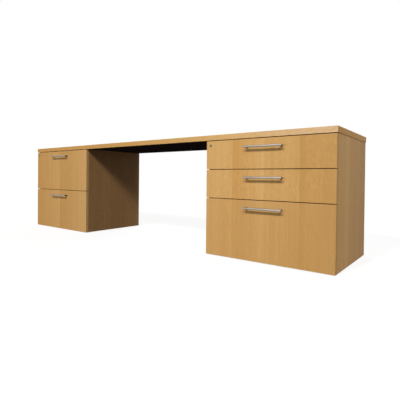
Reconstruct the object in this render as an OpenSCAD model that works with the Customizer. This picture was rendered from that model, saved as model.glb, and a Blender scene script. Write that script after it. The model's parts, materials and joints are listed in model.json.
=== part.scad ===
// Kneehole credenza: one long veneered top over two drawer cases, open between them.
// The left case holds two file drawers, the right case two box drawers over a file drawer.
// +Z is up and the fronts face -Y. The origin is on the floor, in the middle of the whole
// outline from the handles to the back edge.

/* [Top] */
// Width of the top
top_w = 2743; // [2500:1:3000]
// Depth of the top, front to back
top_d = 610; // [590:1:760]
// Thickness of the top
top_t = 32; // [25:0.5:50]
// How far the top runs past each case at its ends
end_overhang = 3; // [0:0.5:30]
// How far the fronts and the case backs stand in from the top's long edges
edge_inset = 2; // [0:0.5:10]
// Thickness of the black backing sheet let into the underside
backer_t = 1; // [0.6:0.1:3]
// Width of the wood edge left round the backing sheet
band_w = 3; // [1.5:0.5:12]
// Chamfer on the edges of the boards that show
edge_ease = 0.8; // [0.4:0.1:2]

/* [Cases] */
// Width of a drawer case
case_w = 762; // [660:1:900]
// Thickness of the sides and bottoms
panel_t = 19; // [16:0.5:25]
// Thickness of the backs
back_t = 16; // [6:0.5:25]
// Width of a top rail, front to back
rail_w = 80; // [50:1:120]
// Thickness of a top rail
rail_t = 19; // [16:0.5:20]

/* [Drawer fronts] */
// Height of a box drawer's front
box_front_h = 169; // [150:1:220]
// Thickness of a front
front_t = 25; // [16:0.5:28]
// Gap between neighbouring fronts
front_gap = 4; // [2:0.5:6]
// Gap between the fronts and the top
top_gap = 4; // [2:0.5:6]
// Gap that the bumpers leave behind a front
bumper_gap = 2; // [1:0.5:4]

/* [Drawer boxes] */
// Thickness of the box sides and ends
board_t = 12; // [10:0.5:16]
// Thickness of the box bottom
bottom_t = 6; // [4:0.5:9]
// Depth of the groove that holds the bottom
groove_d = 6; // [4:0.5:8]
// Height of the bottom's groove over the box's lower edge
groove_rise = 10; // [8:0.5:14]
// Height of the box's lower edge over the front's lower edge
box_rise = 30; // [25:1:40]
// Room over a box drawer's sides, up to the front's top edge
box_top_room = 40; // [39:1:60]
// Room over a file drawer's sides, for the folders' tabs
file_top_room = 73; // [45:1:100]
// Height of one dovetail and its pin together
dovetail_pitch = 25; // [18:1:40]
// Slope of the dovetails, in degrees
dovetail_slope = 9; // [6:0.5:12]

/* [Hanging rails] */
// Thickness of a hanging rail
hanger_t = 3; // [2:0.5:5]
// Height of a hanging rail
hanger_h = 14; // [10:0.5:20]
// Depth of its seat in the box sides
hanger_seat = 8; // [5:0.5:9]
// Distance of the front rail behind the box's front end
hanger_inset = 14; // [10:1:40]
// Spacing of the two rails for letter folders
letter_span = 318; // [300:1:330]
// Spacing of the spare seats for legal folders
legal_span = 394; // [380:1:400]

/* [Runners] */
// Room behind the runners, up to the case's back
runner_room = 61; // [50:1:100]
// Width of the space that a runner takes beside the box
runner_w = 12.7; // [12.7:0.1:15]
// Height of a box drawer's runners
box_runner_h = 46; // [44:1:54]
// Height of a file drawer's runners
file_runner_h = 60; // [50:1:80]
// Height of the runner's middle over a box drawer's lower edge
box_runner_rise = 32; // [30:1:40]
// Height of the runner's middle over a file drawer's lower edge
file_runner_rise = 60; // [48:1:100]
// Thickness of the runner steel
runner_steel = 1.4; // [1.2:0.1:1.6]
// Height of a ball race between two members
race_h = 3.2; // [2.8:0.1:3.6]
// Length of a ball cage
cage_l = 200; // [120:1:230]
// Distance of the runners behind the case's front edge
runner_setback = 2; // [1:0.5:6]

/* [Handles] */
// Length of a handle's rod
rod_l = 226; // [215:1:300]
// Diameter of the rod
rod_d = 10; // [9.5:0.5:14]
// Diameter of the posts
post_d = 12; // [6:0.5:14]
// Spacing of the two posts
post_spacing = 203; // [96:1:204]
// Distance from the front's face to the middle of the rod
handle_reach = 27; // [22:1:40]
// Distance from the front's top edge down to the rod
handle_drop = 45; // [30:1:70]

/* [Locks] */
// Distance from the case's left inner wall to the middle of the lock
lock_w = 10; // [9.5:0.5:11]
// Distance from the front's top edge down to the middle of the lock
lock_drop = 28; // [27:0.5:29]
// Diameter of the barrel
barrel_d = 15; // [14:0.5:16]
// Diameter of the barrel's rim
rim_d = 17; // [16.5:0.5:20]
// Thickness of the rim in front of the face
rim_t = 1; // [0.5:0.1:1.5]
// Diameter of the key plug
plug_d = 11; // [9:0.5:12]
// Diameter of the crank pin behind the plug
crank_pin_d = 4; // [3:0.5:5]
// How far the plug lifts the lock bar
bar_lift = 7; // [6:0.5:7.5]
// Width of the lock bar
bar_w = 20; // [14:1:30]
// Thickness of the lock bar
bar_t = 2.5; // [2:0.5:3]

/* [Glides and screws] */
// Height of a levelling glide's pad under the case
glide_h = 5; // [4:0.5:15]
// Diameter of the pad
glide_d = 28; // [20:1:40]
// Diameter of the glide's stem
stem_d = 8; // [6:0.5:10]
// Distance of the glides from the case's faces
glide_inset = 45; // [40:1:80]
// Diameter of the screws that hold the top
screw_d = 6; // [4:0.5:8]
// How far the screws bite into the top
screw_bite = 15; // [8:1:20]
// Distance of the screws from the case sides
screw_inset = 60; // [40:1:120]

/* [Hidden] */
$fn = 64;
fit_gap = 0.05;
running_gap = 0.3;
cut_past = 1;

// Each drawer: its case, its own name, its lowest module, and how many modules high it is
DRAWERS = [
    ["left", "upper_file", 2, 2],
    ["left", "lower_file", 0, 2],
    ["right", "upper_box", 3, 1],
    ["right", "middle_box", 2, 1],
    ["right", "lower_file", 0, 2]
];
CASES = ["left", "right"];

function case_of(drawer) = drawer[0];
function name_of(drawer) = str(drawer[0], "_", drawer[1]);
function lowest_module(drawer) = drawer[2];
function modules_of(drawer) = drawer[3];
function modules_up_to(drawer) = lowest_module(drawer) + modules_of(drawer);
function is_file(drawer) = modules_of(drawer) > 1;
function has_lock(drawer) = modules_up_to(drawer) == case_modules;
function drawers_in(case_name) = [for (drawer = DRAWERS) if (case_of(drawer) == case_name) drawer];
case_modules = max([for (drawer = DRAWERS) modules_up_to(drawer)]);

// Heights
function module_z(modules_below) = glide_h + modules_below * (box_front_h + front_gap);
function front_z(drawer) = module_z(lowest_module(drawer));
function front_h(drawer) = modules_of(drawer) * (box_front_h + front_gap) - front_gap;
function front_top(drawer) = front_z(drawer) + front_h(drawer);
function box_z(drawer) = front_z(drawer) + box_rise;
function box_h(drawer) = front_h(drawer) - box_rise - (is_file(drawer) ? file_top_room : box_top_room);
function runner_half(drawer) = (is_file(drawer) ? file_runner_h : box_runner_h) / 2;
function runner_z(drawer) = box_z(drawer) + (is_file(drawer) ? file_runner_rise : box_runner_rise);
fronts_top = module_z(case_modules) - front_gap;
case_top = fronts_top + top_gap;
rail_z = case_top - rail_t;

// Depths, from front to back
top_y = (handle_reach + rod_d / 2 - edge_inset - top_d) / 2;
face_y = top_y + edge_inset;
front_back_y = face_y + front_t;
case_front_y = front_back_y + bumper_gap;
case_back_y = top_y + top_d - edge_inset;
back_y = case_back_y - back_t;
runner_y = case_front_y + runner_setback;
runner_l = back_y - runner_room - runner_y;
box_tail = 2;
box_l = runner_y + runner_l + box_tail - front_back_y;
hanger_y = front_back_y + board_t + hanger_inset;
hanger_end_gap = 1;

// Widths
case_x = top_w / 2 - end_overhang - case_w / 2;
wall_x = case_w / 2 - panel_t;
box_w = case_w - 2 * panel_t - 2 * runner_w;

// Runner members: where each starts and ends, as distances from the case's wall
case_member_end = 8.6;
middle_member_start = 3;
middle_member_end = 9.8;
drawer_member_start = 5.2;
outer_cage_start = 4;
outer_cage_end = 8;
inner_cage_start = 6;
inner_cage_end = 9.4;

// Locks, measured from the left wall and behind the front
lock_x = lock_w - wall_x;
lock_z = fronts_top - lock_drop;
rim_y = face_y - rim_t;
barrel_past = 8;
barrel_l = rim_t + front_t + barrel_past;
keyway_w = 1.2;
keyway_h = 7;
keyway_d = 6;
quarter_turn = 90;
crank_r = bar_lift / (2 * sin(quarter_turn / 2));
crank_disc_rim = 0.1;
crank_disc_d = 2 * (crank_r + crank_disc_rim) + crank_pin_d;
crank_disc_t = 2.4;
crank_disc_y = rim_y + barrel_l + running_gap;
crank_pin_l = 11.4;
bar_x = -wall_x - running_gap - bar_t;
bar_behind_disc = 3.3;
bar_y = crank_disc_y + crank_disc_t + bar_behind_disc;
crank_flange_h = 13;
crank_flange_rim = 3;
crank_slot_gap = 0.5;
hook_w = 9.5;
hook_h = 6;
hook_over_runner = 1.5;
catch_w = 3.5;
catch_t = 2;
catch_tab_l = 16;
catch_over_hook = 0.5;
catch_behind_bar = 1;
catch_y = bar_y + bar_t + catch_behind_bar;
function hook_z(drawer) = runner_z(drawer) + runner_half(drawer) + hook_over_runner;
function catch_z(drawer) = hook_z(drawer) + hook_h + catch_over_hook;
bar_under_hook = 10;
bar_top = lock_z - bar_lift / 2 + crank_flange_h / 2;
function bar_z(case_name) =
    min([for (drawer = drawers_in(case_name)) hook_z(drawer)]) - bar_under_hook;

// Screws and glides
screw_head_d = 2 * screw_d;
screw_head_t = 3;
stem_short = 2;
stem_top = glide_h + panel_t - stem_short;
pad_chamfer = 1.5;

veneer = "#C99E61";
edge_wood = "#CFA266";
case_wood = "#B8935C";
maple = "#DCC39A";
steel = "#A8AAAB";
zinc = "#8F9294";
nickel = "#BDB9B3";
black = "#14110E";

CASE_PIECES = ["left_side", "right_side", "bottom", "back", "rails", "runners", "lock_bar"];
DRAWER_PIECES = ["front", "box_sides", "box_ends", "box_bottom", "handle", "middle_runners", "runners"];

// Helpers

module chamfered_rectangle(a, b) {
    e = edge_ease;
    polygon([[e, 0], [a - e, 0], [a, e], [a, b - e], [a - e, b], [e, b], [0, b - e], [0, e]]);
}

// A board with a small chamfer on all its edges
module eased_board(size) {
    intersection() {
        linear_extrude(size.z) chamfered_rectangle(size.x, size.y);
        rotate([90, 0, 90]) linear_extrude(size.x) chamfered_rectangle(size.y, size.z);
        translate([0, size.y, 0]) rotate([90, 0, 0])
            linear_extrude(size.y) chamfered_rectangle(size.x, size.z);
    }
}

// Moves its children, drawn for a case in the middle, to the left or right case
module in_case(case_name) {
    translate([case_name == "left" ? -case_x : case_x, 0, 0]) children();
}

// Draws its children at the left wall and again, mirrored, at the right wall
module at_both_walls() {
    children();
    mirror([1, 0, 0]) children();
}

// A section drawn with its x as the distance from the left wall, run from front to back
module along_left_wall(y, z, length) {
    translate([-wall_x, y + length, z]) rotate([90, 0, 0]) linear_extrude(length) children();
}

// A cylinder that runs back from a point
module rod_back(x, y, z, d, length) {
    translate([x, y, z]) rotate([-90, 0, 0]) cylinder(d = d, h = length);
}

// Top

module screw_places() {
    rail_middles = [case_front_y + rail_w / 2, back_y - rail_w / 2];
    for (case_name = CASES, x = [-1, 1] * (wall_x - screw_inset), y = rail_middles)
        in_case(case_name) translate([x, y, 0]) children();
}

module screw_holes() {
    screw_places() translate([0, 0, rail_z - cut_past])
        cylinder(d = screw_d + 2 * fit_gap, h = rail_t + screw_bite + cut_past);
}

module top_slab() {
    color(edge_wood) difference() {
        translate([-top_w / 2, top_y, case_top]) eased_board([top_w, top_d, top_t]);
        backing_sheet(cut_past);
        screw_holes();
    }
}

module backing_sheet(below) {
    translate([band_w - top_w / 2, top_y + band_w, case_top - below])
        cube([top_w - 2 * band_w, top_d - 2 * band_w, backer_t + below]);
}

module top_backer() {
    color(black) difference() {
        backing_sheet(0);
        screw_holes();
    }
}

module top_screws() {
    color(zinc) screw_places() {
        translate([0, 0, rail_z - screw_head_t]) cylinder(d = screw_head_d, h = screw_head_t);
        translate([0, 0, rail_z]) cylinder(d = screw_d, h = rail_t + screw_bite);
    }
}

// Cases

module side_board(x) {
    translate([x, case_front_y, glide_h])
        eased_board([panel_t, case_back_y - case_front_y, case_top - glide_h]);
}

module case_left_side(case_name) {
    color(veneer) in_case(case_name) difference() {
        side_board(-case_w / 2);
        lock_bar_groove(case_name);
    }
}

module case_right_side(case_name) {
    color(veneer) in_case(case_name) side_board(wall_x);
}

// The lock bar rides in this groove, held in by the runners that cross it
module lock_bar_groove(case_name) {
    translate([bar_x - running_gap, bar_y - running_gap, bar_z(case_name) - running_gap]) cube([
        bar_t + 2 * running_gap + cut_past,
        bar_w + 2 * running_gap,
        bar_top + bar_lift - bar_z(case_name) + 2 * running_gap
    ]);
}

module case_bottom(case_name) {
    color(case_wood) in_case(case_name) difference() {
        translate([-wall_x, case_front_y, glide_h]) cube([2 * wall_x, back_y - case_front_y, panel_t]);
        glide_places() cylinder(d = stem_d + 2 * fit_gap, h = glide_h + panel_t + cut_past);
    }
}

module case_back(case_name) {
    color(veneer) in_case(case_name)
        translate([-wall_x, back_y, glide_h]) cube([2 * wall_x, back_t, case_top - glide_h]);
}

module case_rails(case_name) {
    color(case_wood) difference() {
        in_case(case_name) for (y = [case_front_y, back_y - rail_w])
            translate([-wall_x, y, rail_z]) cube([2 * wall_x, rail_w, rail_t]);
        screw_holes();
    }
}

module glide_places() {
    rows = [case_front_y + glide_inset, case_back_y - glide_inset];
    for (x = [-1, 1] * (case_w / 2 - glide_inset), y = rows) translate([x, y, 0]) children();
}

module glide() {
    rotate_extrude() polygon([
        [0, 0], [glide_d / 2 - pad_chamfer, 0], [glide_d / 2, pad_chamfer], [glide_d / 2, glide_h],
        [stem_d / 2, glide_h], [stem_d / 2, stem_top], [0, stem_top]
    ]);
}

module levelling_glides() {
    color(black) for (case_name = CASES) in_case(case_name) glide_places() glide();
}

// Runners: a middle member and its ball cages run between a case member and a drawer member

// A channel section, open towards the box
module channel(start, end, half_h) {
    difference() {
        translate([start, -half_h]) square([end - start, 2 * half_h]);
        translate([start + runner_steel, runner_steel - half_h])
            square([end - start, 2 * (half_h - runner_steel)]);
    }
}

// The same section, open towards the wall
module channel_to_wall(start, end, half_h) {
    translate([start + end, 0]) mirror([1, 0]) channel(start, end, half_h);
}

function middle_half(drawer) = runner_half(drawer) - runner_steel - race_h;
function drawer_member_half(drawer) = middle_half(drawer) - runner_steel - race_h;

module case_runners(case_name) {
    color(steel) in_case(case_name) for (drawer = drawers_in(case_name))
        at_both_walls() along_left_wall(runner_y, runner_z(drawer), runner_l)
            channel(0, case_member_end, runner_half(drawer));
}

module middle_runners(drawer) {
    color(steel) in_case(case_of(drawer)) at_both_walls() {
        along_left_wall(runner_y, runner_z(drawer), runner_l)
            channel(middle_member_start, middle_member_end, middle_half(drawer));
        along_left_wall(runner_y + runner_l - cage_l, runner_z(drawer), cage_l)
            cage_pair(outer_cage_start, outer_cage_end, middle_half(drawer));
        along_left_wall(runner_y, runner_z(drawer), cage_l)
            cage_pair(inner_cage_start, inner_cage_end, drawer_member_half(drawer) + running_gap);
    }
}

module cage_pair(start, end, z) {
    for (flip = [0, 1]) mirror([0, flip])
        translate([start, z]) square([end - start, race_h - running_gap]);
}

module drawer_runners(drawer) {
    color(steel) in_case(case_of(drawer)) {
        drawer_member(drawer);
        catch(drawer);
        mirror([1, 0, 0]) drawer_member(drawer);
    }
}

module drawer_member(drawer) {
    along_left_wall(runner_y, runner_z(drawer), runner_l)
        channel_to_wall(drawer_member_start, runner_w, drawer_member_half(drawer));
}

// A tab on the left drawer member, bent to the catch that the lock bar's hook holds back
module catch(drawer) {
    tab_z = runner_z(drawer) + drawer_member_half(drawer) - runner_steel;
    translate([runner_w - runner_steel - wall_x, catch_y, tab_z])
        cube([runner_steel, catch_tab_l, catch_z(drawer) + hook_h - tab_z]);
    translate([catch_w - wall_x, catch_y, catch_z(drawer)])
        cube([runner_w - catch_w, catch_t, hook_h]);
}

// Drawers

module drawer_front(drawer) {
    color(veneer) in_case(case_of(drawer)) difference() {
        translate([-case_w / 2, face_y, front_z(drawer)]) eased_board([case_w, front_t, front_h(drawer)]);
        if (has_lock(drawer))
            rod_back(lock_x, face_y - cut_past, lock_z, barrel_d + 2 * fit_gap, front_t + 2 * cut_past);
    }
}

// The tails at the box's front left corner, which widen towards the end of the side
module tails(drawer) {
    count = max(2, floor(box_h(drawer) / dovetail_pitch));
    pitch = box_h(drawer) / count;
    spread = board_t * tan(dovetail_slope);
    base = pitch / 2 - spread / 2;
    for (i = [0 : count - 1])
        translate([-box_w / 2, front_back_y, box_z(drawer) + (i + 0.5) * pitch])
            rotate([90, 0, 90]) linear_extrude(board_t) polygon([
                [0, -base / 2 - spread], [board_t, -base / 2], [board_t, base / 2], [0, base / 2 + spread]
            ]);
}

module at_box_corners() {
    middle_y = front_back_y + box_l / 2;
    for (flip_x = [0, 1], flip_y = [0, 1])
        mirror([flip_x, 0, 0]) translate([0, middle_y, 0]) mirror([0, flip_y, 0])
            translate([0, -middle_y, 0]) children();
}

module box_sides(drawer) {
    color(maple) in_case(case_of(drawer)) difference() {
        union() {
            at_both_walls() translate([-box_w / 2, front_back_y + board_t, box_z(drawer)])
                cube([board_t, box_l - 2 * board_t, box_h(drawer)]);
            at_box_corners() tails(drawer);
        }
        bottom_sheet(drawer);
        if (is_file(drawer)) hanger_seats(drawer);
    }
}

module box_ends(drawer) {
    color(maple) in_case(case_of(drawer)) difference() {
        for (y = [front_back_y, front_back_y + box_l - board_t])
            translate([-box_w / 2, y, box_z(drawer)]) cube([box_w, board_t, box_h(drawer)]);
        at_box_corners() tails(drawer);
        bottom_sheet(drawer);
    }
}

module bottom_sheet(drawer) {
    in_from = board_t - groove_d;
    translate([in_from - box_w / 2, front_back_y + in_from, box_z(drawer) + groove_rise])
        cube([box_w - 2 * in_from, box_l - 2 * in_from, bottom_t]);
}

module box_bottom(drawer) {
    color(maple) in_case(case_of(drawer)) bottom_sheet(drawer);
}

module hanger_seats(drawer) {
    z = box_z(drawer) + box_h(drawer) - hanger_seat;
    for (y = [hanger_y, hanger_y + letter_span, hanger_y + legal_span])
        translate([-box_w / 2 - cut_past, y - running_gap, z])
            cube([box_w + 2 * cut_past, hanger_t + 2 * running_gap, hanger_seat + cut_past]);
}

module hanging_rails(drawer) {
    z = box_z(drawer) + box_h(drawer) - hanger_seat;
    color(steel) in_case(case_of(drawer)) for (y = [hanger_y, hanger_y + letter_span])
        translate([hanger_end_gap - box_w / 2, y, z])
            cube([box_w - 2 * hanger_end_gap, hanger_t, hanger_h]);
}

module handle(drawer) {
    y = face_y - handle_reach;
    z = front_top(drawer) - handle_drop;
    color(nickel) in_case(case_of(drawer)) {
        translate([-rod_l / 2, y, z]) rotate([0, 90, 0]) cylinder(d = rod_d, h = rod_l);
        for (x = [-1, 1] * post_spacing / 2) rod_back(x, y, z, post_d, handle_reach);
    }
}

// Locks: the plug's crank pin lifts the bar, whose hooks then stand in front of the catches

module lock_barrel(case_name) {
    color(nickel) in_case(case_name) difference() {
        union() {
            rod_back(lock_x, rim_y, lock_z, rim_d, rim_t);
            rod_back(lock_x, rim_y, lock_z, barrel_d, barrel_l);
        }
        rod_back(lock_x, rim_y - cut_past, lock_z, plug_d + 2 * fit_gap, barrel_l + 2 * cut_past);
    }
}

module lock_plug(case_name) {
    color(nickel) in_case(case_name) difference() {
        union() {
            rod_back(lock_x, rim_y, lock_z, plug_d, crank_disc_y - rim_y);
            rod_back(lock_x, crank_disc_y, lock_z, crank_disc_d, crank_disc_t);
            translate([-bar_lift / 2, 0, -bar_lift / 2])
                rod_back(lock_x, crank_disc_y, lock_z, crank_pin_d, crank_pin_l);
        }
        translate([lock_x - keyway_w / 2, rim_y - cut_past, lock_z - keyway_h / 2])
            cube([keyway_w, keyway_d + cut_past, keyway_h]);
    }
}

module lock_bar(case_name) {
    color(zinc) in_case(case_name) {
        translate([bar_x, bar_y, bar_z(case_name)]) cube([bar_t, bar_w, bar_top - bar_z(case_name)]);
        for (drawer = drawers_in(case_name))
            translate([bar_x, bar_y, hook_z(drawer)]) cube([hook_w - wall_x - bar_x, bar_t, hook_h]);
        crank_flange();
    }
}

// The bar's bent top end, with the level slot that the crank pin slides along
module crank_flange() {
    pin_room = crank_pin_d / 2 + crank_slot_gap;
    slot_x = [lock_x - crank_r - pin_room, lock_x - bar_lift / 2 + pin_room];
    z = bar_top - crank_flange_h;
    difference() {
        translate([bar_x, bar_y, z])
            cube([slot_x[1] + crank_flange_rim - bar_x, bar_t, crank_flange_h]);
        translate([slot_x[0], bar_y - cut_past, z + crank_flange_h / 2 - pin_room])
            cube([slot_x[1] - slot_x[0], bar_t + 2 * cut_past, 2 * pin_room]);
    }
}

top_slab();
top_backer();
top_screws();
levelling_glides();

for (case_name = CASES) {
    case_left_side(case_name);
    case_right_side(case_name);
    case_bottom(case_name);
    case_back(case_name);
    case_rails(case_name);
    case_runners(case_name);
    lock_bar(case_name);
    lock_barrel(case_name);
    lock_plug(case_name);
}

for (drawer = DRAWERS) {
    drawer_front(drawer);
    box_sides(drawer);
    box_ends(drawer);
    box_bottom(drawer);
    handle(drawer);
    middle_runners(drawer);
    drawer_runners(drawer);
}

for (drawer = DRAWERS) if (is_file(drawer)) {
    hanging_rails(drawer);
}
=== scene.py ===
# Kneehole credenza: the finishes, pulls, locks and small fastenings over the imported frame.
# Everything is in metres, +Z is up and the fronts face -Y, as in the frame.
import bmesh
import bpy
import json
import math
from fnmatch import fnmatch
from mathutils import Euler, Matrix, Vector

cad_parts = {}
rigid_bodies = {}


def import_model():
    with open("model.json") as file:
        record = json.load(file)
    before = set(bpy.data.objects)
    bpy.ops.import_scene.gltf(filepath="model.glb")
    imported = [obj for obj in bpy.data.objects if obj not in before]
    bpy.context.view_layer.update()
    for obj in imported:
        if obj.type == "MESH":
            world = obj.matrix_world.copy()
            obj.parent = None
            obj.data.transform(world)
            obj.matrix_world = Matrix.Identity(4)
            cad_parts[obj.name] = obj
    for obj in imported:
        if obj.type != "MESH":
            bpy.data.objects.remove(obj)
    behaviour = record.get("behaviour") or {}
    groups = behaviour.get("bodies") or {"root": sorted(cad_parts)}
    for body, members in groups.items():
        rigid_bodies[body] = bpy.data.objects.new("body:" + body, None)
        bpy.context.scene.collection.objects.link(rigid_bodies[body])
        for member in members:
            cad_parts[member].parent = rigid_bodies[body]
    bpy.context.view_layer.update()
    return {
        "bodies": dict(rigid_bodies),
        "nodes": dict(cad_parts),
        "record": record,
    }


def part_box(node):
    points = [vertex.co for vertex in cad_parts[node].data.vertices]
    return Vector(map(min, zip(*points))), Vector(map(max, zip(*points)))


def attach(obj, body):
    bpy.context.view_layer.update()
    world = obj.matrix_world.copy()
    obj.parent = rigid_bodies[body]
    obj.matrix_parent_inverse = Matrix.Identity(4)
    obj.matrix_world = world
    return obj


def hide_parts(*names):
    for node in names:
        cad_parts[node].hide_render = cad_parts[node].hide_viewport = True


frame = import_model()

MM = 0.001
AXES = "XYZ"
CASES = ["left", "right"]
DRAWER_BODY = "_drawer"
DRAWERS = [body[:-len(DRAWER_BODY)] for body in frame["bodies"] if body.endswith(DRAWER_BODY)]

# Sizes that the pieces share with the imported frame
PULL_SCREW_SPACING = 203 * MM
ROD_BACK = -310 * MM
POST_RADIUS = 6.0 * MM
PLUG_RADIUS = 5.5 * MM
PLUG_CLEARANCE = 0.05 * MM
BARREL_RADIUS = 7.5 * MM
RIM_THICKNESS = 1 * MM
BOX_BOARD = 12 * MM
RUNNER_STEEL = 1.4 * MM
RUNNER_SPACE = 12.7 * MM
PANEL = 19 * MM

# Sizes that only this script has
ROD_END_ROUNDING = 1.2 * MM
POST_ROUNDING = 0.4 * MM
RIM_ROUNDING = 0.5 * MM
RIM_STEPS = 5
BORE_CHAMFER = 0.3 * MM
BUMPER_RADIUS = 4 * MM
BUMPER_HEIGHT = 1.7 * MM
BUMPER_ROUNDING = 0.5 * MM
BUMPER_FROM_EDGE = 22 * MM
FRONT_SCREW_FROM_END = 70 * MM
FRONT_SCREW_RISE = 0.22
RUNNER_SCREWS = [37 * MM, 165 * MM, 325 * MM, 460 * MM]
# Faces that meet at more than this angle keep a sharp edge
SHARP_ANGLE = math.radians(32)

# The Mix node's inputs go by number: its factor, and its first and second colour
FACTOR, FIRST, SECOND = 0, 6, 7
COLOURS = {"out": 2, "data_type": "RGBA"}


# Shader helpers

def srgb(code):
    """An sRGB hex colour as the linear colour that a socket takes"""
    shares = [int(code[i:i + 2], 16) / 255 for i in (1, 3, 5)]
    return (*[s / 12.92 if s <= 0.04045 else ((s + 0.055) / 1.055) ** 2.4 for s in shares], 1.0)


def add(tree, kind, inputs, out=0, stops=None, **settings):
    """Adds a shader node. An input is a value or the output to link from, stops colour a ramp."""
    made = tree.nodes.new("ShaderNode" + kind)
    for name, value in settings.items():
        setattr(made, name, value)
    for name, value in inputs.items():
        if isinstance(value, bpy.types.NodeSocket):
            tree.links.new(value, made.inputs[name])
        else:
            made.inputs[name].default_value = value
    if stops:
        ramp = made.color_ramp.elements
        ramp[0].position, ramp[0].color = stops[0]
        ramp[-1].position, ramp[-1].color = stops[-1]
        for place, colour in stops[1:-1]:
            ramp.new(place).color = colour
    return made.outputs[out] if made.outputs else None


def new_finish(name):
    """A bare material, its empty node tree, and the place on the piece that patterns start from"""
    finish = bpy.data.materials.new(name)
    finish.use_nodes = True
    tree = finish.node_tree
    tree.nodes.clear()
    return finish, tree, add(tree, "TexCoord", {}, out="Object")


def coat(tree, colour, roughness, relief, depth, **shader):
    """Joins a finish's colour, roughness and relief, whose full height is depth, to its shader"""
    bump = add(tree, "Bump", {"Height": relief, "Distance": depth, "Strength": 1.0})
    surface = add(tree, "BsdfPrincipled", {
        "Base Color": colour, "Roughness": roughness, "Normal": bump, **shader})
    add(tree, "OutputMaterial", {"Surface": surface})


def drawn_out(tree, place, along, width, length, low, high, detail=2.0):
    """Noise drawn out along one axis, its marks about width by length, mostly from low to high"""
    scale = [1 / width] * 3
    scale[AXES.index(along)] = 1 / length
    stretched = add(tree, "Mapping", {"Vector": place, "Scale": scale})
    noise = add(tree, "TexNoise", {"Vector": stretched, "Scale": 1.0, "Detail": detail})
    return add(tree, "MapRange", {
        "Value": noise, "From Min": 0.3, "From Max": 0.7, "To Min": low, "To Max": high})


def eased_edges(tree, radius, strength):
    """Up to strength on an edge that hands and sanding have rounded, 0 on the flat"""
    rounded = add(tree, "Bevel", {"Radius": radius}, samples=4)
    flat = add(tree, "NewGeometry", {}, out="True Normal")
    agreement = add(tree, "VectorMath", {0: rounded, 1: flat}, out="Value", operation="DOT_PRODUCT")
    return add(tree, "MapRange", {
        "Value": agreement, "From Min": 0.995, "From Max": 0.75, "To Min": 0.0, "To Max": strength})


def faces_along(tree, axis):
    """1 on the faces that look along an axis, 0 on the others"""
    normal = add(tree, "NewGeometry", {}, out="True Normal")
    part = add(tree, "SeparateXYZ", {"Vector": normal}, out=axis)
    size = add(tree, "Math", {0: part}, operation="ABSOLUTE")
    return add(tree, "Math", {0: size, 1: 0.7}, operation="GREATER_THAN")


# Wood finishes

# A leaf of veneer, and where the first leaf begins on the sides and on the top, along Y
LEAF_WIDTH = 199 * MM
SIDE_FIRST_LEAF = -234 * MM
TOP_FIRST_LEAF = -286 * MM
# The spacing of the rings on a board's end, and where the frame's origin lies from their heart
RING_SPACING = 3.14 * MM
RING_HEART = (13 * MM, 21 * MM, 190 * MM)
# The length in which a wave texture of scale 1 repeats
WAVE_REPEAT = 0.314
# Tints that multiply a wood's tone, as shares of red, green and blue light
PALE_GRAIN = (1.10, 1.11, 1.14, 1.0)
DEEP_GRAIN = (0.78, 0.72, 0.62, 1.0)
PALE_MOTTLE = (1.0, 1.04, 1.25, 1.0)
AMBER_MOTTLE = (1.0, 0.95, 0.75, 1.0)
AMBER = (1.0, 0.93, 0.72, 1.0)
# The heights over the floor between which the amber tint comes in, warmer towards the floor
AMBER_STARTS = 620 * MM
AMBER_IS_FULL = 120 * MM


def in_leaves(tree, place, across, first):
    """Shifts the grain in each veneer leaf, so that it breaks off at the seams"""
    position = add(tree, "SeparateXYZ", {"Vector": place}, out=across)
    count = add(tree, "MapRange", {
        "Value": position, "From Min": first, "From Max": first + LEAF_WIDTH}, clamp=False)
    leaf = add(tree, "Math", {0: count}, operation="FLOOR")
    shift = add(tree, "VectorMath", {0: (0.37, 0.61, 2.3), "Scale": leaf}, operation="SCALE")
    return add(tree, "VectorMath", {0: place, 1: shift}, operation="ADD")


def wandering(tree, place, along, drift):
    """A place that drifts slowly across the grain, so that no streak runs dead straight"""
    slow = add(tree, "TexNoise", {
        "Vector": place, "Scale": 1 / (455 * MM), "Detail": 1.0}, out="Color")
    reach = [2 * drift] * 3
    reach[AXES.index(along)] = 0.0
    return add(tree, "VectorMath", {0: slow, 1: reach, 2: place}, operation="MULTIPLY_ADD")


def wood_grain(tree, place, along, band, figure=0.0):
    """The darkness of the grain and the height of its fibres: bands of sapwood and heartwood,
    growth lines that close into arches, streaks, fibres, short flecks, and patches of curls"""
    place = wandering(tree, place, along, 8 * MM)
    dark = drawn_out(tree, place, along, band, 1100 * MM, 0.10, 0.30)
    rings = drawn_out(tree, place, along, 150 * MM, 1300 * MM, 0.0, 9.6, detail=1.0)
    ring = add(tree, "Math", {0: rings}, operation="FRACT")
    late_wood = add(tree, "Math", {0: ring, 1: 3.0}, operation="POWER")
    streaks = drawn_out(tree, place, along, 7 * MM, 450 * MM, 0.0, 0.15, detail=3.0)
    fibres = drawn_out(tree, place, along, 1.2 * MM, 60 * MM, 0.0, 0.14)
    dashes = drawn_out(tree, place, along, 0.8 * MM, 9 * MM, -3.75, 1.25, detail=1.0)
    flecks = add(tree, "Math", {0: dashes, 1: 0.0}, operation="MAXIMUM")
    curls = drawn_out(tree, place, along, 13 * MM, 24 * MM, -figure, figure, detail=3.0)
    patches = drawn_out(tree, place, along, 120 * MM, 260 * MM, 0.2, 1.4, detail=1.0)
    parts = ((late_wood, 0.07), (flecks, 0.14), (streaks, 1.0), (fibres, 1.0), (curls, patches))
    for part, weight in parts:
        dark = add(tree, "Math", {0: part, 1: weight, 2: dark}, operation="MULTIPLY_ADD")
    height = add(tree, "Math", {0: fibres, 1: flecks}, operation="SUBTRACT")
    return dark, height


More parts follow.
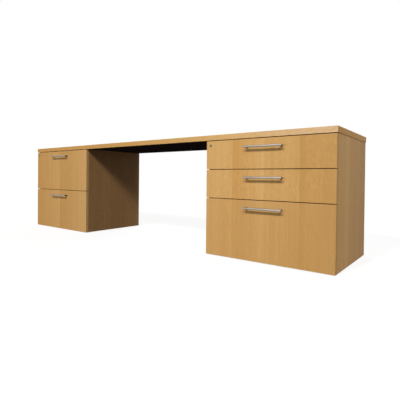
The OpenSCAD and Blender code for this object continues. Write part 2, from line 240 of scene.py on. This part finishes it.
def shaded(tree, tone, dark):
    """A wood tone, browner where the grain is dark and a little paler where it is light"""
    pale, deep = (
        add(tree, "Mix", {FACTOR: 1.0, FIRST: tone, SECOND: tint}, blend_type="MULTIPLY", **COLOURS)
        for tint in (PALE_GRAIN, DEEP_GRAIN))
    return add(tree, "Mix", {FACTOR: dark, FIRST: pale, SECOND: deep}, **COLOURS)


def tones_across(tree, place, across, tones):
    """The tone of the wood across its leaves, from (place in mm, colour) pairs in order"""
    first, last = tones[0][0], tones[-1][0]
    position = add(tree, "SeparateXYZ", {"Vector": place}, out=across)
    share = add(tree, "MapRange", {
        "Value": position, "From Min": first * MM, "From Max": last * MM})
    stops = [((x - first) / (last - first), srgb(colour)) for x, colour in tones]
    return add(tree, "ValToRGB", {"Fac": share}, stops=stops)


def lacquer(tree, wood, dark, height, worn_edge_highlight_tone, smooth, gloss):
    """Satin lacquer over wood: duller in the dark open grain, and paler on eased edges,
    partly from wear and partly as a painted highlight where the rounded edge catches light
    """
    # Painted highlight, partly real wear: the eased edges turn towards a paler tone, as rounded
    # edges catch the light and the lacquer wears thin there
    worn = eased_edges(tree, 0.8 * MM, 0.12)
    colour = add(tree, "Mix", {FACTOR: worn, FIRST: wood, SECOND: srgb(worn_edge_highlight_tone)}, **COLOURS)
    roughness = add(tree, "MapRange", {"Value": dark, "To Min": smooth, "To Max": smooth + 0.14})
    coat(tree, colour, roughness, height, 0.06 * MM, **{"Specular IOR Level": gloss})


def upright_veneer(name, across, first_leaf, tones, figure=0.14, warmer_below=0.0):
    """Sliced figured maple veneer under satin lacquer: leaves side by side, each of its own tone,
    with a quiet upright grain and short curls of figure across it. Figure is how strong the curls
    are; the last argument is how far the tone turns warmer towards the floor."""
    finish, tree, place = new_finish(name)
    grain_place = in_leaves(tree, place, across, first_leaf)
    dark, height = wood_grain(tree, grain_place, "Z", 38 * MM, figure)
    tone = tones_across(tree, place, across, tones)
    if warmer_below:
        rise = add(tree, "SeparateXYZ", {"Vector": place}, out="Z")
        share = add(tree, "MapRange", {
            "Value": rise, "From Min": AMBER_STARTS, "From Max": AMBER_IS_FULL, "To Max": warmer_below})
        tone = add(tree, "Mix", {
            FACTOR: share, FIRST: tone, SECOND: AMBER}, blend_type="MULTIPLY", **COLOURS)
    wood = shaded(tree, tone, dark)
    lacquer(tree, wood, dark, height, "#E2BE88", 0.42, 0.1)
    return finish


# Tones of the leaves, as pairs of a place in mm and a colour. On the fronts and backs a place is
# the distance from the case's middle, and the last millimetre of a front is the edge band on its
# right end. On the sides and the top it is a place along Y, and on the top's front band along X.
RIGHT_FRONT_LEAVES = [
    (-381, "#D3A768"), (-199.2, "#D3A768"), (-198.8, "#CA9A58"), (-0.2, "#D5A96A"),
    (0.2, "#CFA263"), (198.8, "#CFA263"), (199.2, "#C49555"), (379.6, "#C99C5E"), (380, "#BC8D4B"),
    (381, "#BC8D4B")]
RIGHT_LOWER_LEAVES = [
    (-381, "#CFA265"), (-199.2, "#CC9F60"), (-198.8, "#C8995B"), (-0.2, "#CFA265"),
    (0.2, "#CC9F60"), (198.8, "#C89C5F"), (199.2, "#C39557"), (379.6, "#C69A5E"), (380, "#BA8C4B"),
    (381, "#BA8C4B")]
LEFT_FRONT_LEAVES = [
    (-381, "#C09153"), (-0.2, "#C89D60"), (0.2, "#BE9152"), (379.6, "#CAA066"), (380, "#D9AB74"),
    (381, "#D9AB74")]
SIDE_LEAVES = [
    (-270, "#CA9950"), (-175, "#CD9E55"), (-105, "#CEA158"), (-35.2, "#CB9B53"), (-34.8, "#BF9047"),
    (164.8, "#BF9048"), (165.2, "#BC8D44"), (320, "#B1833E")]
# The last stops, from 270 to 320 mm along Y, are paler: painted light that stands in for light
# reaching the back edge of the kneehole sides from behind
KNEEHOLE_LEAVES_WITH_PAINTED_BACK_LIGHT = [
    (-290, "#A27C50"), (-35.2, "#A57F53"), (-34.8, "#A07A4E"), (270, "#A37C51"), (320, "#B18859")]
BACK_LEAVES = [(-381, "#CDA064"), (-0.2, "#CFA367"), (0.2, "#C99B5E"), (381, "#CFA266")]
TOP_LEAVES = [
    (-290, "#CFA266"), (-87.2, "#D2A76C"), (-86.8, "#CB9E61"), (111.8, "#CFA266"),
    (112.2, "#CA9C60"), (320, "#CDA166")]
TOP_BAND_TONES = [(-1371, "#C49553"), (-100, "#C69858"), (700, "#D3A96A"), (1371, "#DDBA8D")]
TOP_END_TONE = "#C39042"


def case_middle(case):
    """Where the middle of a case is along X"""
    low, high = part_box(case + "_case_bottom")
    return (low.x + high.x) / 2


def case_veneer(case, part, leaves, figure):
    """Upright grain across a whole case, which on the fronts runs on from drawer to drawer"""
    middle = case_middle(case)
    tones = [(x + middle / MM, colour) for x, colour in leaves]
    return upright_veneer(f"{case}_{part}_veneer", "X", middle - 2 * LEAF_WIDTH, tones, figure)


def top_veneer():
    """The long top: grain along its length, a front band mottled pale and amber that pales to the
    right, and darker end bands whose grain runs front to back"""
    finish, tree, place = new_finish("top_veneer")
    on_end = faces_along(tree, "X")
    lengthwise = in_leaves(tree, place, "Y", TOP_FIRST_LEAF)
    turned = add(tree, "VectorRotate", {
        "Vector": place, "Angle": math.pi / 2}, rotation_type="Z_AXIS")
    # A Mix node that is set to vectors has other numbers for its two inputs and its output
    grain_place = add(tree, "Mix", {
        FACTOR: on_end, 4: lengthwise, 5: turned}, out=1, data_type="VECTOR")
    dark, height = wood_grain(tree, grain_place, "X", 30 * MM, 0.14)
    flat = tones_across(tree, place, "Y", TOP_LEAVES)
    mottle = drawn_out(tree, grain_place, "X", 11 * MM, 20 * MM, 0.0, 1.0, detail=3.0)
    tint = add(tree, "Mix", {FACTOR: mottle, FIRST: PALE_MOTTLE, SECOND: AMBER_MOTTLE}, **COLOURS)
    band = tones_across(tree, place, "X", TOP_BAND_TONES)
    band = add(tree, "Mix", {
        FACTOR: 1.0, FIRST: band, SECOND: tint}, blend_type="MULTIPLY", **COLOURS)
    tone = add(tree, "Mix", {FACTOR: faces_along(tree, "Y"), FIRST: flat, SECOND: band}, **COLOURS)
    tone = add(tree, "Mix", {FACTOR: on_end, FIRST: tone, SECOND: srgb(TOP_END_TONE)}, **COLOURS)
    lacquer(tree, shaded(tree, tone, dark), dark, height, "#E6C591", 0.46, 0.12)
    return finish


def plain_wood(name, along, tone, end_tone, band):
    """Boards inside, in clear lacquer: straight close grain, and darker end grain with its rings"""
    finish, tree, place = new_finish(name)
    dark, height = wood_grain(tree, place, along, band)
    long_wood = shaded(tree, srgb(tone), dark)
    heart = add(tree, "VectorMath", {0: place, 1: RING_HEART}, operation="ADD")
    rings = add(tree, "TexWave", {
        "Vector": heart, "Scale": WAVE_REPEAT / RING_SPACING, "Distortion": 1.5, "Detail": 2.0,
        "Detail Scale": 2.0}, out="Fac", wave_type="RINGS", rings_direction="SPHERICAL")
    end_wood = shaded(tree, srgb(end_tone), rings)
    on_end = faces_along(tree, along)
    wood = add(tree, "Mix", {FACTOR: on_end, FIRST: long_wood, SECOND: end_wood}, **COLOURS)
    lacquer(tree, wood, dark, height, "#EBD9B6", 0.46, 0.3)
    return finish


# Metal, laminate, plastic and rubber finishes

def satin_nickel(name, along, painted_shade_tone, smooth):
    """Nickel plate over brushed brass, with fine brush lines that soften its shine: a warm grey on
    the rods, and a darker tone of painted shade on the posts and locks behind them"""
    finish, tree, place = new_finish(name)
    # Real brush lines are about 0.05 mm wide, drawn at 0.3 mm so that they show
    lines = drawn_out(tree, place, along, 0.3 * MM, 25 * MM, 0.0, 1.0, detail=3.0)
    cloud = drawn_out(tree, place, along, 15 * MM, 40 * MM, -0.15, 0.15)
    # Painted shade: everything past the rod's back, the posts and the locks, takes the darker tone.
    # It stands in for the rod's shadow and for the dim surroundings that they reflect; the cloud
    # only adds random duller patches.
    depth = add(tree, "SeparateXYZ", {"Vector": place}, out="Y")
    behind = add(tree, "MapRange", {
        "Value": depth, "From Min": ROD_BACK, "From Max": ROD_BACK + 4 * MM})
    dull = add(tree, "Math", {0: behind, 1: cloud}, operation="ADD", use_clamp=True)
    # The warm grey is also painted shade in part: it is darker than bare nickel, standing in for
    # the dim room that the plate reflects.
    plate = add(tree, "Mix", {
        FACTOR: dull, FIRST: srgb("#999289"), SECOND: srgb(painted_shade_tone)}, **COLOURS)
    worn = eased_edges(tree, 0.5 * MM, 0.3)
    colour = add(tree, "Mix", {FACTOR: worn, FIRST: plate, SECOND: srgb("#B9B5AF")}, **COLOURS)
    roughness = add(tree, "MapRange", {"Value": lines, "To Min": smooth, "To Max": smooth + 0.12})
    coat(tree, colour, roughness, lines, 0.008 * MM, Metallic=1.0)
    return finish


def zinc_plated_steel(name, tone, shade):
    """Rolled steel under bright zinc: cool grey, the mottle of the plating and faint roll lines"""
    finish, tree, place = new_finish(name)
    mottle = add(tree, "TexVoronoi", {"Vector": place, "Scale": 1 / (6.25 * MM)}, out="Color")
    grey = add(tree, "SeparateColor", {"Color": mottle}, out="Red")
    roll_lines = drawn_out(tree, place, "Y", 0.5 * MM, 40 * MM, 0.0, 1.0)
    plate = add(tree, "Mix", {FACTOR: grey, FIRST: srgb(tone), SECOND: srgb(shade)}, **COLOURS)
    worn = eased_edges(tree, 0.5 * MM, 0.5)
    colour = add(tree, "Mix", {FACTOR: worn, FIRST: plate, SECOND: srgb("#D5D7D8")}, **COLOURS)
    roughness = add(tree, "MapRange", {"Value": roll_lines, "To Min": 0.30, "To Max": 0.44})
    coat(tree, colour, roughness, roll_lines, 0.01 * MM, Metallic=1.0)
    return finish


def black_laminate():
    """Phenolic backing sheet: matt and almost black, with a faint pebble and long scuffs"""
    finish, tree, place = new_finish("black_laminate")
    pebble = add(tree, "TexNoise", {"Vector": place, "Scale": 1 / (1.43 * MM), "Detail": 2.0})
    scuffs = drawn_out(tree, place, "X", 4 * MM, 120 * MM, 0.0, 1.0, detail=4.0)
    colour = add(tree, "Mix", {
        FACTOR: scuffs, FIRST: srgb("#2B2323"), SECOND: srgb("#352C2B")}, **COLOURS)
    roughness = add(tree, "MapRange", {"Value": scuffs, "To Min": 0.85, "To Max": 0.95})
    coat(tree, colour, roughness, pebble, 0.04 * MM, **{"Specular IOR Level": 0.0})
    return finish


def moulded_nylon():
    """Black nylon glides: a fine moulded texture, scuffed grey at the rim that meets the floor"""
    finish, tree, place = new_finish("moulded_black_nylon")
    texture = add(tree, "TexNoise", {"Vector": place, "Scale": 1 / (0.556 * MM), "Detail": 2.0})
    height = add(tree, "SeparateXYZ", {"Vector": place}, out="Z")
    worn = add(tree, "MapRange", {
        "Value": height, "From Min": 2.5 * MM, "From Max": 0.0, "To Max": 0.6})
    patchy = add(tree, "Math", {0: worn, 1: texture}, operation="MULTIPLY")
    colour = add(tree, "Mix", {
        FACTOR: patchy, FIRST: srgb("#161514"), SECOND: srgb("#4A4744")}, **COLOURS)
    roughness = add(tree, "MapRange", {"Value": texture, "To Min": 0.35, "To Max": 0.65})
    coat(tree, colour, roughness, texture, 0.03 * MM)
    return finish


def bumper_rubber():
    """Black rubber dots: dull and soft, with a faint grey bloom"""
    finish, tree, place = new_finish("black_bumper_rubber")
    bloom = add(tree, "TexNoise", {"Vector": place, "Scale": 1 / (1.11 * MM), "Detail": 2.0})
    colour = add(tree, "Mix", {
        FACTOR: bloom, FIRST: srgb("#1C1B1A"), SECOND: srgb("#33312F")}, **COLOURS)
    roughness = add(tree, "MapRange", {"Value": bloom, "To Min": 0.65, "To Max": 0.85})
    coat(tree, colour, roughness, bloom, 0.01 * MM)
    return finish


# The last colour of each nickel is its darker tone of painted shade, for the posts and the locks
NICKEL_ROD = satin_nickel("satin_nickel_brushed_rod", "X", "#4A3F34", 0.52)
NICKEL_TURNED = satin_nickel("satin_nickel_turned_lock", "Y", "#665A4C", 0.28)
ZINC_STRIP = zinc_plated_steel("zinc_plated_strip_steel", "#B4B7B9", "#A0A4A7")
ZINC_SCREW = zinc_plated_steel("zinc_plated_screw_steel", "#A9A79E", "#8F8E87")
BUMPER_RUBBER = bumper_rubber()
KNEEHOLE_SIDE = upright_veneer(
    "kneehole_side_veneer", "Y", SIDE_FIRST_LEAF, KNEEHOLE_LEAVES_WITH_PAINTED_BACK_LIGHT, figure=0.28)
OUTER_SIDE = upright_veneer("side_veneer", "Y", SIDE_FIRST_LEAF, SIDE_LEAVES, warmer_below=0.8)
CASE_WOOD = plain_wood("birch_ply_case_board", "X", "#C9A26A", "#A98453", 40 * MM)

NODE_FINISHES = {
    "top_slab": top_veneer(),
    "top_backer": black_laminate(),
    "top_screws": ZINC_SCREW,
    "levelling_glides": moulded_nylon(),
    "left_*_front": case_veneer("left", "front", LEFT_FRONT_LEAVES, 0.08),
    "right_lower_file_front": case_veneer("right", "lower_front", RIGHT_LOWER_LEAVES, 0.08),
    "right_*_front": case_veneer("right", "front", RIGHT_FRONT_LEAVES, 0.14),
    "left_case_back": case_veneer("left", "back", BACK_LEAVES, 0.1),
    "right_case_back": case_veneer("right", "back", BACK_LEAVES, 0.1),
    "left_case_right_side": KNEEHOLE_SIDE,
    "right_case_left_side": KNEEHOLE_SIDE,
    "*_case_*_side": OUTER_SIDE,
    "*_case_bottom": CASE_WOOD,
    "*_case_rails": CASE_WOOD,
    "*_box_sides": plain_wood("maple_box_side", "Y", "#DEC69C", "#B99467", 30 * MM),
    "*_box_ends": plain_wood("maple_box_end", "X", "#DBC297", "#B99467", 30 * MM),
    "*_box_bottom": plain_wood("birch_ply_drawer_bottom", "X", "#D9C296", "#A9895F", 60 * MM),
    "*_hanging_rails": ZINC_STRIP,
    "*_runners": ZINC_STRIP,
    "*_lock_bar": ZINC_STRIP,
    "*_lock_plug": NICKEL_TURNED,
    "*_lock_barrel": NICKEL_TURNED,
    "*_handle": NICKEL_ROD,
}

# The first pattern that fits a node's name gives its finish
for node_name, node_object in frame["nodes"].items():
    pattern = next(p for p in NODE_FINISHES if fnmatch(node_name, p))
    for material_slot in node_object.material_slots:
        material_slot.material = NODE_FINISHES[pattern]


# Pieces

def placed(name, shape, finish, body):
    """Turns a finished bmesh into a piece that rides on a body"""
    mesh = bpy.data.meshes.new(name)
    shape.to_mesh(mesh)
    shape.free()
    mesh.materials.append(finish)
    mesh.shade_smooth()
    mesh.set_sharp_from_angle(angle=SHARP_ANGLE)
    piece = bpy.data.objects.new(name, mesh)
    bpy.context.scene.collection.objects.link(piece)
    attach(piece, body)
    return piece


def round_bar(shape, start, end, radius, rounding, segments=48):
    """A bar between two points with both its end edges rounded"""
    start, end = Vector(start), Vector(end)
    turn = (end - start).to_track_quat("Z", "Y").to_matrix().to_4x4()
    made = bmesh.ops.create_cone(
        shape, cap_ends=True, segments=segments, radius1=radius, radius2=radius,
        depth=(end - start).length, matrix=Matrix.Translation((start + end) / 2) @ turn)
    edges = {edge for corner in made["verts"] for edge in corner.link_edges}
    end_edges = [edge for edge in edges if any(len(face.verts) > 4 for face in edge.link_faces)]
    bmesh.ops.bevel(
        shape, geom=end_edges, offset=rounding, segments=3, profile=0.5,
        affect="EDGES", material=-1)


def bar_pull(drawer):
    """A rod on two posts that run into the front"""
    low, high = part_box(drawer + "_handle")
    radius = (high.z - low.z) / 2
    middle = Vector(((low.x + high.x) / 2, low.y + radius, low.z + radius))
    reach = Vector(((high.x - low.x) / 2, 0, 0))
    shape = bmesh.new()
    round_bar(shape, middle - reach, middle + reach, radius, ROD_END_ROUNDING)
    for side in (-1, 1):
        foot = middle + Vector((side * PULL_SCREW_SPACING / 2, 0, 0))
        round_bar(shape, foot, (foot.x, high.y, foot.z), POST_RADIUS, POST_ROUNDING, segments=32)
    pull = placed(drawer + "_bar_pull", shape, NICKEL_ROD, drawer + DRAWER_BODY)
    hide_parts(drawer + "_handle")


def lock_body(case):
    """The drawer that carries a case's lock"""
    return next(body for body, nodes in frame["record"]["behaviour"]["bodies"].items()
                if case + "_lock_barrel" in nodes)


def lock_cylinder(case):
    """The barrel and its rim, turned from one bar, with the rim's edge rounded over"""
    low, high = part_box(case + "_lock_barrel")
    rim_radius = (high.x - low.x) / 2
    bore = PLUG_RADIUS + PLUG_CLEARANCE
    rim_back = low.y + RIM_THICKNESS
    # The outline is half the barrel's section, as pairs of a radius and a place along Y
    turns = [math.radians(90 * step / RIM_STEPS) for step in range(RIM_STEPS + 1)]
    rounded_edge = [
        (rim_radius - RIM_ROUNDING * (1 - math.cos(turn)),
         low.y + RIM_ROUNDING * (1 - math.sin(turn)))
        for turn in turns]
    outline = [
        (bore, high.y),
        (BARREL_RADIUS, high.y),
        (BARREL_RADIUS, rim_back),
        (rim_radius, rim_back),
        *rounded_edge,
        (bore + BORE_CHAMFER, low.y),
        (bore, low.y + BORE_CHAMFER)]
    middle = Vector(((low.x + high.x) / 2, 0, (low.z + high.z) / 2))
    shape = bmesh.new()
    points = [shape.verts.new((middle.x + radius, y, middle.z)) for radius, y in outline]
    edges = [shape.edges.new((a, b)) for a, b in zip(points, points[1:] + points[:1])]
    bmesh.ops.spin(
        shape, geom=points + edges, cent=middle, axis=(0, 1, 0), angle=math.tau, steps=64,
        use_merge=True)
    bmesh.ops.remove_doubles(shape, verts=shape.verts, dist=0.001 * MM)
    bmesh.ops.recalc_face_normals(shape, faces=shape.faces)
    body = lock_body(case)
    cylinder = placed(case + "_lock_cylinder", shape, NICKEL_TURNED, body)
    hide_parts(case + "_lock_barrel")


def screw_head(radius, height):
    """A low pan head with a cross recess, looking along +Z"""
    shape = bmesh.new()
    arm = 0.62 * radius
    half_arm = 0.14 * radius
    rim = bmesh.ops.create_circle(shape, cap_ends=False, segments=24, radius=radius)["verts"]
    edges = list({e for v in rim for e in v.link_edges})
    for level, width in ((0.45, 1.0), (0.85, 0.90), (1.0, 0.74)):
        made = bmesh.ops.extrude_edge_only(shape, edges=edges)["geom"]
        ring = [v for v in made if isinstance(v, bmesh.types.BMVert)]
        edges = [e for e in made if isinstance(e, bmesh.types.BMEdge)]
        for corner in ring:
            outward = Vector((corner.co.x, corner.co.y, 0)).normalized()
            corner.co = outward * radius * width + Vector((0, 0, height * level))
    arm_corners = [Vector(corner) for corner in (
        (arm, -half_arm, height), (arm, half_arm, height), (half_arm, half_arm, height))]
    quarter_turns = [Matrix.Rotation(math.radians(90 * quarter), 3, "Z") for quarter in range(4)]
    cross = [shape.verts.new(turn @ corner) for turn in quarter_turns for corner in arm_corners]
    cross_edges = [shape.edges.new((a, b)) for a, b in zip(cross, cross[1:] + cross[:1])]
    bmesh.ops.bridge_loops(shape, edges=edges + cross_edges)
    walls = bmesh.ops.extrude_edge_only(shape, edges=cross_edges)["geom"]
    floor_corners = [v for v in walls if isinstance(v, bmesh.types.BMVert)]
    bmesh.ops.translate(shape, verts=floor_corners, vec=(0, 0, -0.6 * height))
    bmesh.ops.contextual_create(shape, geom=[e for e in walls if isinstance(e, bmesh.types.BMEdge)])
    bmesh.ops.recalc_face_normals(shape, faces=shape.faces)
    mesh = bpy.data.meshes.new("screw_head")
    shape.to_mesh(mesh)
    shape.free()
    return mesh


def set_out(template, places, facing):
    """Copies of a template at each place, each turned to face one way"""
    turn = Vector(facing).to_track_quat("Z", "Y").to_matrix().to_4x4()
    shape = bmesh.new()
    for place in places:
        known = len(shape.verts)
        shape.from_mesh(template)
        shape.verts.ensure_lookup_table()
        move = Matrix.Translation(place) @ turn
        bmesh.ops.transform(shape, matrix=move, verts=shape.verts[known:])
    return shape


def fixing_screws(drawer):
    """The screws that hold the front and the pull, seen from inside the drawer"""
    front_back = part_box(drawer + "_front")[1].y
    box_low, box_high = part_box(drawer + "_box_ends")
    inner_y = box_low.y + BOX_BOARD
    rise = FRONT_SCREW_RISE * (box_high.z - box_low.z)
    columns = [box_low.x + FRONT_SCREW_FROM_END, box_high.x - FRONT_SCREW_FROM_END]
    rows = [box_low.z + rise, box_high.z - rise]
    heads = set_out(PAN_HEAD, [(x, inner_y, z) for x in columns for z in rows], (0, 1, 0))
    placed(drawer + "_front_screws", heads, ZINC_SCREW, drawer + DRAWER_BODY)

    pull_low, pull_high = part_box(drawer + "_handle")
    middle = (pull_low + pull_high) / 2
    through_box = middle.z < box_high.z
    behind = inner_y if through_box else front_back
    spots = [(middle.x + side * PULL_SCREW_SPACING / 2, behind, middle.z) for side in (-1, 1)]
    heads = set_out(PAN_HEAD, spots, (0, 1, 0))
    placed(drawer + "_pull_screws", heads, ZINC_SCREW, drawer + DRAWER_BODY)


def bumpers(drawer):
    """A soft dot behind each corner of the front, which meets the case's edge"""
    low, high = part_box(drawer + "_front")
    shape = bmesh.new()
    for x in (low.x + PANEL / 2, high.x - PANEL / 2):
        for z in (low.z + BUMPER_FROM_EDGE, high.z - BUMPER_FROM_EDGE):
            tip = (x, high.y + BUMPER_HEIGHT, z)
            round_bar(shape, (x, high.y, z), tip, BUMPER_RADIUS, BUMPER_ROUNDING, segments=24)
    placed(drawer + "_bumpers", shape, BUMPER_RUBBER, drawer + DRAWER_BODY)


def runner_screws(drawer):
    """Low screws along both runners: in the case members, and in the members on the box"""
    box_low, box_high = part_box(drawer + "_box_sides")
    runner_low, runner_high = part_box(drawer + "_middle_runners")
    z = (runner_low.z + runner_high.z) / 2
    stations = [runner_low.y + distance for distance in RUNNER_SCREWS]
    for hand, side, box_x in (("left", 1, box_low.x), ("right", -1, box_high.x)):
        case_x = box_x - side * RUNNER_SPACE
        spots = [(case_x + side * RUNNER_STEEL, y, z) for y in stations]
        heads = set_out(LOW_HEAD, spots, (side, 0, 0))
        placed(f"{drawer}_{hand}_case_runner_screws", heads, ZINC_SCREW, "cabinet")
        spots = [(box_x - side * RUNNER_STEEL, y, z) for y in stations]
        heads = set_out(LOW_HEAD, spots, (-side, 0, 0))
        placed(f"{drawer}_{hand}_box_runner_screws", heads, ZINC_SCREW, drawer + DRAWER_BODY)


PAN_HEAD = screw_head(4 * MM, 2.2 * MM)
LOW_HEAD = screw_head(3.6 * MM, 0.9 * MM)

for drawer_name in DRAWERS:
    bar_pull(drawer_name)
    fixing_screws(drawer_name)
    bumpers(drawer_name)
    runner_screws(drawer_name)

for case_name in CASES:
    lock_cylinder(case_name)


# Floor, light and camera

WHITE = srgb("#FFFFFF")
# The floor's own grey, and the share of white that the lamps make of it where no shadow falls
FLOOR_GREY = "#7C7C7C"
FLOOR_LIT = 0.15
# The floor's half width, and the distances between which it fades into the surroundings
FLOOR_REACH = 60.0
FADE_STARTS = 1.6
FADE_ENDS = 5.0
# The strength of the even light from all round
WORLD_LIGHT = 0.10
# The lamps: name, place, target, size, and the share of its own colour that a surface is lit to
LAMPS = [
    ("main_key", (0.4, -7.3, 6.3), (0.0, -0.3, 0.4), 0.5, 0.46),
    ("right_key", (4.4, -7.3, 6.3), (0.0, -0.3, 0.4), 2.2, 0.40),
    ("front_fill", (-1.4, -6.5, 0.9), (0.0, -0.3, 0.4), 1.4, 0.21),
    ("right_fill", (4.1, 0.3, 2.3), (1.37, 0.0, 0.4), 1.2, 0.23),
    ("back_fill", (-4.0, 6.0, 4.0), (0.0, 0.0, 0.4), 4.0, 0.50)]


def white_for_sight(tree):
    """1 for the rays that see the background, directly or by reflection, and 0 for the rays that
    carry light"""
    camera_ray, glossy_ray, transmission_ray = (
        add(tree, "LightPath", {}, out=f"Is {kind} Ray")
        for kind in ("Camera", "Glossy", "Transmission"))
    seen = add(tree, "Math", {0: camera_ray, 1: glossy_ray}, operation="MAXIMUM")
    return add(tree, "Math", {0: seen, 1: transmission_ray}, operation="MAXIMUM")


def floor():
    """A pale matt floor that reads as white, keeps the credenza's shadow, and fades into the
    white surroundings some metres away"""
    finish, tree, place = new_finish("pale_floor")
    distance = add(tree, "VectorMath", {0: place}, out="Value", operation="LENGTH")
    far = add(tree, "MapRange", {
        "Value": distance, "From Min": FADE_STARTS, "From Max": FADE_ENDS},
        interpolation_type="SMOOTHSTEP")
    grey = add(tree, "Mix", {
        FACTOR: far, FIRST: srgb(FLOOR_GREY), SECOND: srgb("#000000")}, **COLOURS)
    matt = add(tree, "BsdfDiffuse", {"Color": grey})
    glow = add(tree, "MapRange", {"Value": far, "To Min": 1.0 - FLOOR_LIT, "To Max": 1.0})
    seen_glow = add(tree, "Math", {0: glow, 1: white_for_sight(tree)}, operation="MULTIPLY")
    white = add(tree, "Emission", {"Color": WHITE, "Strength": seen_glow})
    both = add(tree, "AddShader", {0: matt, 1: white})
    add(tree, "OutputMaterial", {"Surface": both})
    shape = bmesh.new()
    bmesh.ops.create_grid(shape, x_segments=1, y_segments=1, size=FLOOR_REACH)
    mesh = bpy.data.meshes.new("floor")
    shape.to_mesh(mesh)
    shape.free()
    mesh.materials.append(finish)
    piece = bpy.data.objects.new("floor", mesh)
    bpy.context.scene.collection.objects.link(piece)


def surroundings():
    """White to look at, and a low even light"""
    world = bpy.data.worlds.new("studio")
    bpy.context.scene.world = world
    world.use_nodes = True
    tree = world.node_tree
    tree.nodes.clear()
    strength = add(tree, "MapRange", {
        "Value": white_for_sight(tree), "To Min": WORLD_LIGHT, "To Max": 1.0})
    background = add(tree, "Background", {"Color": WHITE, "Strength": strength})
    add(tree, "OutputWorld", {"Surface": background})


def softbox(name, place, target, size, share):
    """A square lamp that lights a surface facing it, at the target, to a share of its own colour"""
    place, target = Vector(place), Vector(target)
    lamp = bpy.data.lights.new(name, "AREA")
    lamp.shape = "SQUARE"
    lamp.size = size
    lamp.energy = math.pi ** 2 * share * (place - target).length_squared
    holder = bpy.data.objects.new(name, lamp)
    holder.location = place
    holder.rotation_euler = (place - target).to_track_quat("Z", "Y").to_euler()
    holder.visible_camera = False
    bpy.context.scene.collection.objects.link(holder)


def camera():
    """The photograph's viewpoint, low and to the right, as fitted to the photographed edges"""
    lens = bpy.data.cameras.new("camera")
    lens.lens = 31.8365
    lens.shift_x = 0.038384
    lens.shift_y = -0.047425
    holder = bpy.data.objects.new("camera", lens)
    holder.location = (1.854079, -2.072777, 0.472950)
    holder.rotation_euler = Euler([math.radians(a) for a in (89.3800, -0.5815, 38.5009)], "XYZ")
    bpy.context.scene.collection.objects.link(holder)
    bpy.context.scene.camera = holder


floor()
surroundings()
for lamp_setting in LAMPS:
    softbox(*lamp_setting)
camera()
bpy.context.scene.view_settings.view_transform = "Standard"
